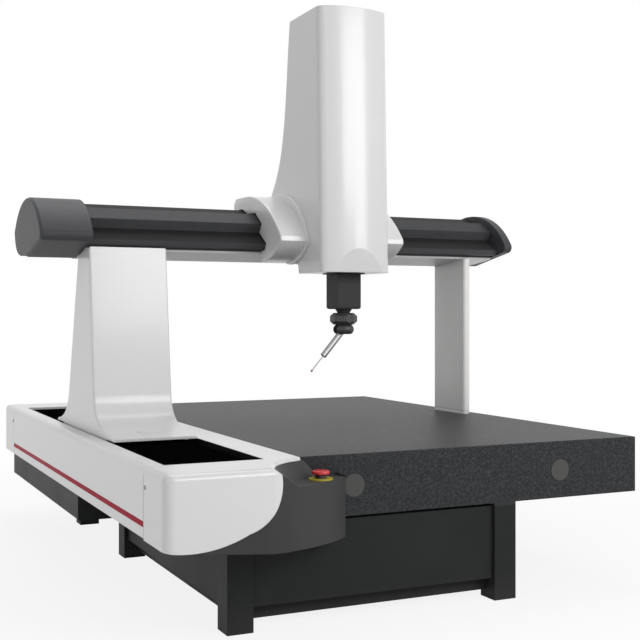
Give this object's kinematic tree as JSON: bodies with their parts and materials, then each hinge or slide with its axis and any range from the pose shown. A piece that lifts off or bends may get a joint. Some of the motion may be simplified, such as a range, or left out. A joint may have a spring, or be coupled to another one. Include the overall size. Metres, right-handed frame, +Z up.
{
  "type": "coordinate measuring machine",
  "caption": "Moving-bridge measuring machine: granite table on a stand, covered guideway, beam with tower, sliding quill and tilting touch probe.",
  "frame": {"origin": "on the floor under the middle of the machine's outline", "axes": "+X along the beam to the operator's right, +Y along the table away from the operator, +Z up"},
  "size_m": [2.538, 3.21, 2.668],
  "materials": {
    "stand_paint": "satin dark paint",
    "white_cover": "satin white moulded cover",
    "beam_grey": "dark anodised",
    "pale_grey": "satin pale grey",
    "console_grey": "dark grey moulded",
    "quill_black": "black anodised",
    "bare_aluminium": "machined",
    "bright_steel": "ground",
    "black_plastic": "matt",
    "granite": "lapped dark speckled stone",
    "belt_black": "matt black",
    "pad_rubber": "matt black",
    "stop_yellow": "glossy",
    "stop_red": "glossy",
    "ruby": "polished"
  },
  "bodies": {
    "base": {"stand_legs": "stand_paint", "foot_plates": "stand_paint", "isolator_pads": "pad_rubber", "top_rails": "stand_paint", "front_panel": "stand_paint", "side_panels": "stand_paint", "skirt_rails": "stand_paint", "granite_table": "granite", "table_inserts": "bright_steel", "lifting_plugs": "console_grey", "y_guideway": "bare_aluminium", "y_magnet_track": "bright_steel", "y_scale": "bright_steel", "guideway_outer_cover": "white_cover", "guideway_inner_cover": "white_cover", "dust_belt": "belt_black", "guideway_front_cap": "white_cover", "guideway_rear_cap": "white_cover", "console_housing": "console_grey", "stop_disc": "stop_yellow", "stop_collar": "black_plastic", "service_cabinet": "stand_paint"},
    "stop": {"stop_button": "stop_red"},
    "bridge": {"y_carriage": "bare_aluminium", "y_bearing_pads": "bare_aluminium", "y_motor_coil": "black_plastic", "bridge_leg": "white_cover", "foot_cap": "white_cover", "beam": "beam_grey", "beam_sole": "pale_grey", "x_magnet_track": "bright_steel", "x_scale": "bright_steel", "left_end_cap": "beam_grey", "right_end_cap": "beam_grey", "right_post": "pale_grey", "right_pad": "pale_grey"},
    "carriage": {"carriage_frame": "bare_aluminium", "x_bearing_pads": "bare_aluminium", "x_motor_coil": "black_plastic", "carriage_rear_cover": "white_cover", "left_collar": "white_cover", "right_collar": "white_cover", "tower_hood": "white_cover", "tower_bottom_plate": "white_cover", "z_guides": "bare_aluminium", "z_spine": "bare_aluminium", "z_motor_coil": "black_plastic", "balance_cylinder": "bare_aluminium"},
    "ram": {"quill": "quill_black", "quill_end_plate": "quill_black", "quill_crosshead": "quill_black", "z_magnet_track": "bright_steel", "balance_rod": "bright_steel", "head_body": "quill_black"},
    "head": {"head_rotor": "quill_black", "tilt_pin": "bright_steel"},
    "probe": {"probe_knuckle": "bright_steel", "probe_body": "bright_steel", "stylus": "bright_steel", "ruby_ball": "ruby"}
  },
  "joints": [
    {"name": "bridge_travel", "type": "slide", "parent": "base", "child": "bridge", "axis": [0, 1, 0], "range_m": [-0.72, 0.78]},
    {"name": "carriage_travel", "type": "slide", "parent": "bridge", "child": "carriage", "axis": [1, 0, 0], "range_m": [-0.5, 0.45]},
    {"name": "quill_travel", "type": "slide", "parent": "carriage", "child": "ram", "axis": [0, 0, 1], "range_m": [-0.195, 0.17]},
    {"name": "head_turn", "type": "hinge", "parent": "ram", "child": "head", "pos_m": [0.181, -0.341, 1.1196], "axis": [0, 0, 1], "range_deg": [-180, 180]},
    {"name": "probe_tilt", "type": "hinge", "parent": "head", "child": "probe", "pos_m": [0.181, -0.341, 1.1196], "axis": [0, 1, 0], "range_deg": [-40, 48]},
    {"name": "stop_press", "type": "slide", "parent": "base", "child": "stop", "axis": [0, 0, -1], "range_m": [0, 0.005], "stiffness_N_per_m": 900, "springref_m": -0.002}
  ]
}
